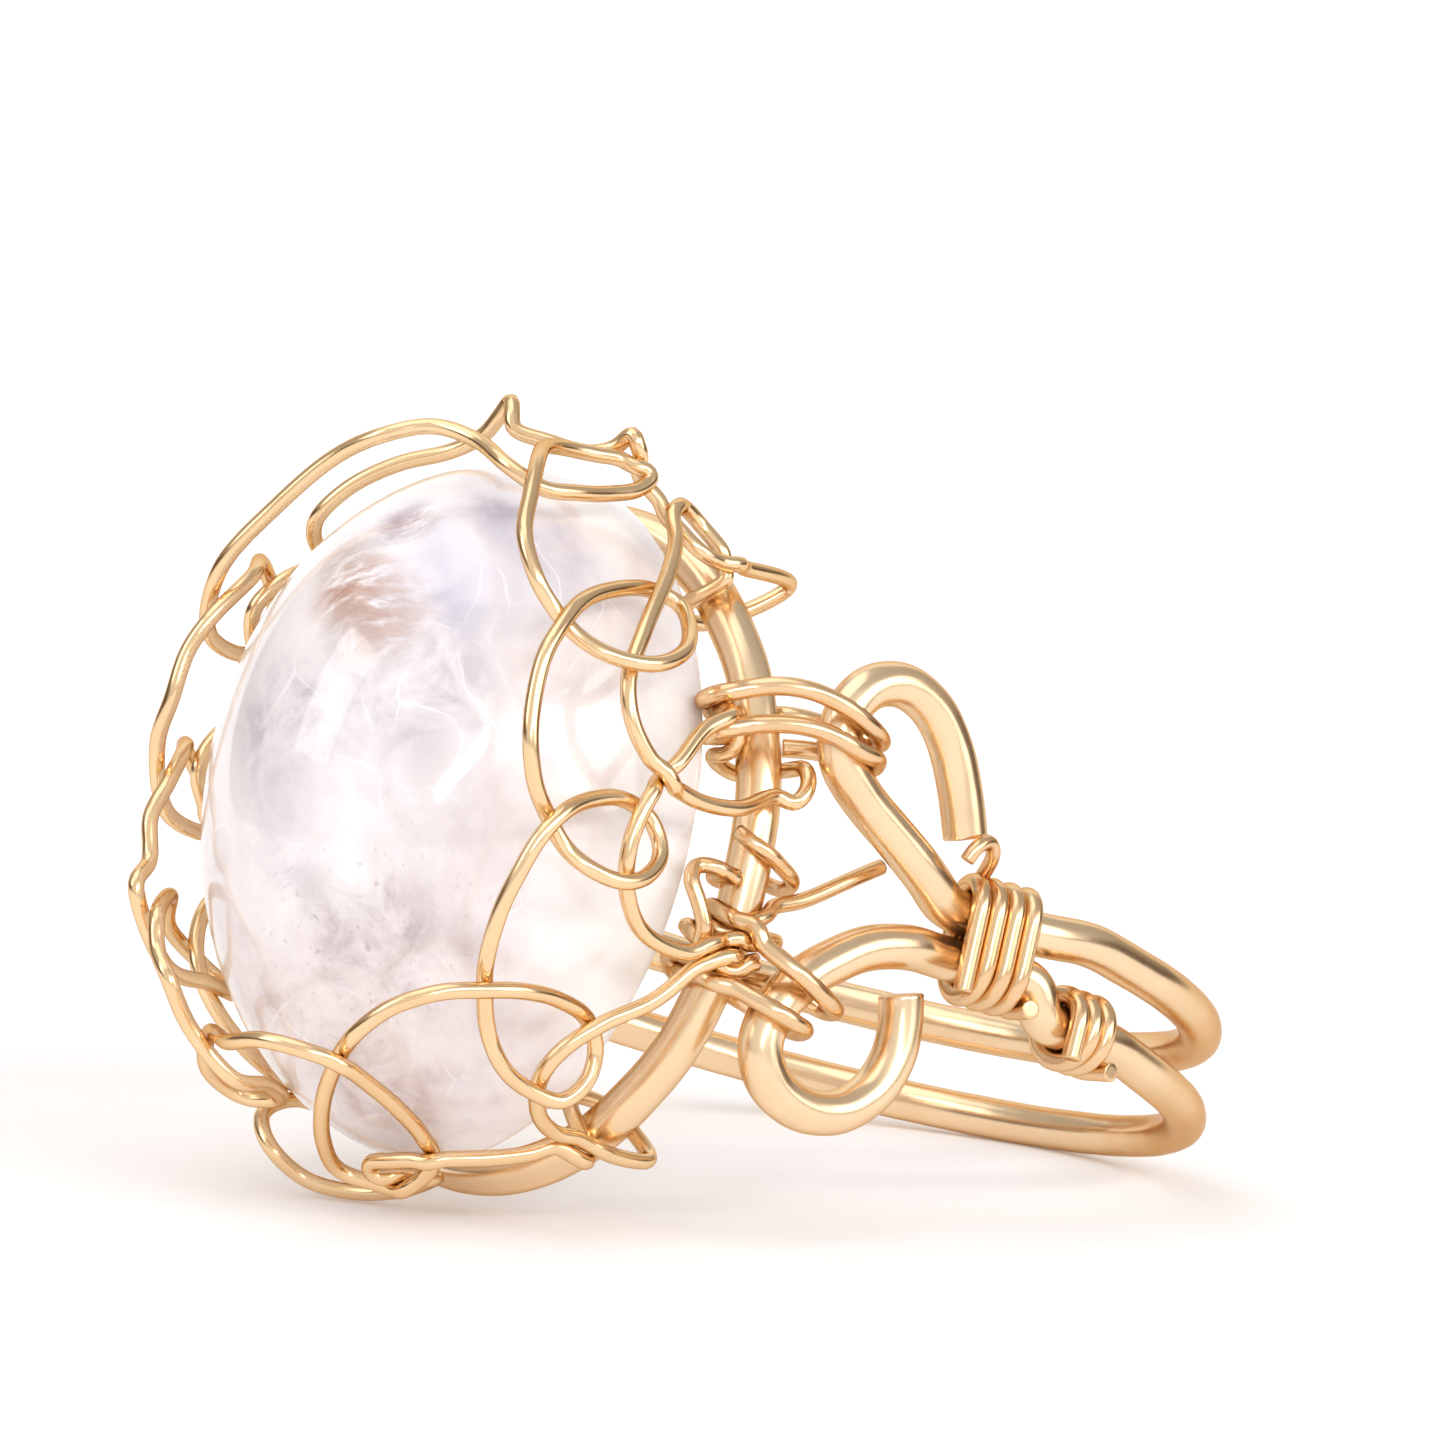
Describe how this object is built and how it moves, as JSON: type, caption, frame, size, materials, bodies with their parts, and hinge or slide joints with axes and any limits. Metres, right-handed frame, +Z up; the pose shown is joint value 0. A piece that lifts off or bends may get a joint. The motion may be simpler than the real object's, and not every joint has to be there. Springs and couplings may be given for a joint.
{
  "type": "wire-wrapped gemstone ring",
  "caption": "Finger ring of gold-coloured wire: a large oval moonstone dome in a looped-wire basket on a double-wire shank with curled shoulders, lying on its side.",
  "frame": {"origin": "middle of the bounding box's underside, on the surface that the ring lies on", "axes": "+Z up from that surface; the ring lies on its side with its finger axis about 16 degrees off vertical, its head towards -X and -Y; -Y is the side seen"},
  "size_m": [0.0256, 0.0276, 0.0178],
  "materials": {
    "moonstone": "polished milky translucent",
    "heavy_wire": "polished pale gold",
    "wrap_wire": "polished pale gold",
    "net_wire": "polished pale gold"
  },
  "bodies": {
    "root": {"moonstone": "moonstone", "upper_strand": "heavy_wire", "lower_strand": "heavy_wire", "base_frame": "heavy_wire", "coil_near": "wrap_wire", "coil_far": "wrap_wire", "neck_coil_near": "wrap_wire", "neck_coil_far": "wrap_wire", "upper_tie_near": "wrap_wire", "upper_tie_far": "wrap_wire", "lower_tie_near": "wrap_wire", "lower_tie_far": "wrap_wire", "net_base_row": "net_wire", "net_rim_row": "net_wire"}
  },
  "joints": []
}
